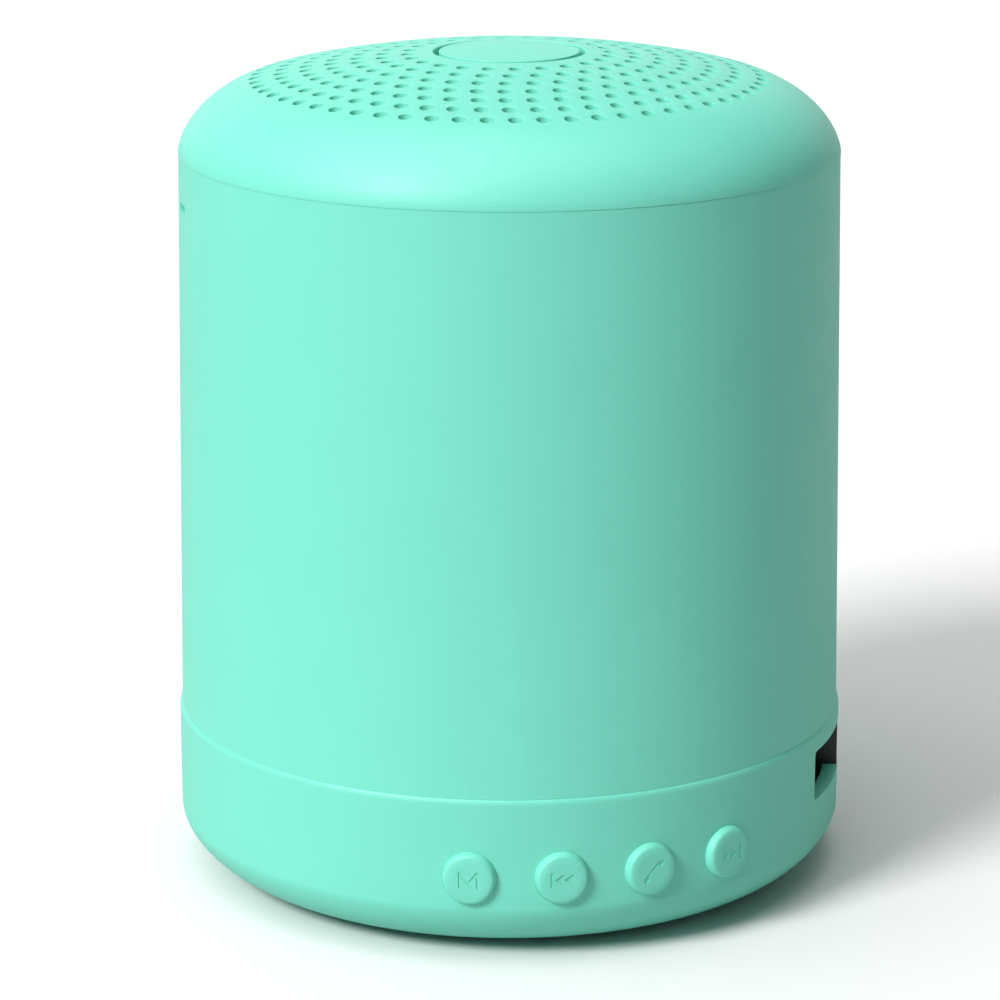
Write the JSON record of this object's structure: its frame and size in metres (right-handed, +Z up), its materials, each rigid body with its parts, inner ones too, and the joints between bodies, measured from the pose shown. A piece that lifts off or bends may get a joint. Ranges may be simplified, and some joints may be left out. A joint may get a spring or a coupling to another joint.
{
  "type": "portable bluetooth speaker",
  "caption": "Small round battery speaker with a perforated cap over an upward-facing driver, press buttons on its base and a side window for charging and a memory card.",
  "frame": {"origin": "centre of the flat underside of the foot pad, on the speaker's axis", "axes": "+Z up along the speaker's axis, +X out of the middle of the socket window, -Y towards the mode and previous buttons"},
  "size_m": [0.0536, 0.0542, 0.0658],
  "materials": {
    "mint_shell": "fine satin moulded ABS",
    "mint_cloth": "thin woven dust cloth",
    "mint_button": "satin moulded cap",
    "black_plastic": "moulded, lightly textured",
    "white_plastic": "moulded nylon",
    "grey_rubber": "matte moulded rubber",
    "foam": "closed-cell foam",
    "green_board": "glass-fibre board with green solder mask",
    "zinc_steel": "zinc plated pressed steel",
    "ferrite": "sintered ferrite",
    "copper_wire": "enamelled copper winding",
    "black_paper": "pressed paper pulp",
    "spider_cloth": "resin-dipped cotton",
    "battery_foil": "laminated foil pouch",
    "red_wire": "PVC sleeve",
    "black_wire": "PVC sleeve"
  },
  "bodies": {
    "housing": {"top_cap": "mint_shell", "centre_disc": "mint_shell", "outer_sleeve": "mint_shell", "base_housing": "mint_shell", "dust_cloth": "mint_cloth", "foot_pad": "grey_rubber", "switch_mode": "black_plastic", "switch_previous": "black_plastic", "switch_call": "black_plastic", "switch_next": "black_plastic", "main_board": "green_board", "usb_socket": "zinc_steel", "card_slot": "zinc_steel", "port_insert": "black_plastic", "bluetooth_module": "zinc_steel", "amplifier_chip": "black_plastic", "crystal": "zinc_steel", "status_led": "white_plastic", "battery_connector": "white_plastic", "speaker_connector": "white_plastic", "bulk_capacitor": "zinc_steel", "microphone": "zinc_steel", "chamber_floor": "black_plastic", "wire_grommet": "grey_rubber", "battery_cell": "battery_foil", "battery_guard_board": "green_board", "battery_pad": "foam", "battery_clamp": "black_plastic", "speaker_frame": "zinc_steel", "speaker_gasket": "foam", "surround": "grey_rubber", "spider": "spider_cloth", "front_plate": "zinc_steel", "magnet": "ferrite", "yoke": "zinc_steel", "terminal_strip": "green_board", "driver_screw_1": "zinc_steel", "base_screw_1": "zinc_steel", "driver_screw_2": "zinc_steel", "base_screw_2": "zinc_steel", "driver_screw_3": "zinc_steel", "base_screw_3": "zinc_steel", "board_screw_1": "zinc_steel", "board_screw_2": "zinc_steel", "speaker_lead_red": "red_wire", "battery_lead_red": "red_wire", "speaker_lead_black": "black_wire", "battery_lead_black": "black_wire"},
    "cone_assembly": {"cone": "black_paper", "dust_cap": "black_paper", "voice_coil": "copper_wire"},
    "button_mode": {"button_mode": "mint_button", "switch_stem_mode": "white_plastic"},
    "button_previous": {"button_previous": "mint_button", "switch_stem_previous": "white_plastic"},
    "button_call": {"button_call": "mint_button", "switch_stem_call": "white_plastic"},
    "button_next": {"button_next": "mint_button", "switch_stem_next": "white_plastic"}
  },
  "joints": [
    {"name": "press_mode", "type": "slide", "parent": "housing", "child": "button_mode", "axis": [0.1132, 0.9936, 0], "range_m": [0, 0.0003], "stiffness_N_per_m": 2500, "springref_m": -0.0003},
    {"name": "press_previous", "type": "slide", "parent": "housing", "child": "button_previous", "axis": [-0.1478, 0.989, 0], "range_m": [0, 0.0003], "stiffness_N_per_m": 2500, "springref_m": -0.0003},
    {"name": "press_call", "type": "slide", "parent": "housing", "child": "button_call", "axis": [-0.3987, 0.9171, 0], "range_m": [0, 0.0003], "stiffness_N_per_m": 2500, "springref_m": -0.0003},
    {"name": "press_next", "type": "slide", "parent": "housing", "child": "button_next", "axis": [-0.6225, 0.7826, 0], "range_m": [0, 0.0003], "stiffness_N_per_m": 2500, "springref_m": -0.0003},
    {"name": "cone_travel", "type": "slide", "parent": "housing", "child": "cone_assembly", "axis": [0, 0, 1], "range_m": [-0.0008, 0.0008], "stiffness_N_per_m": 1200, "deforming": ["surround", "spider"]}
  ]
}
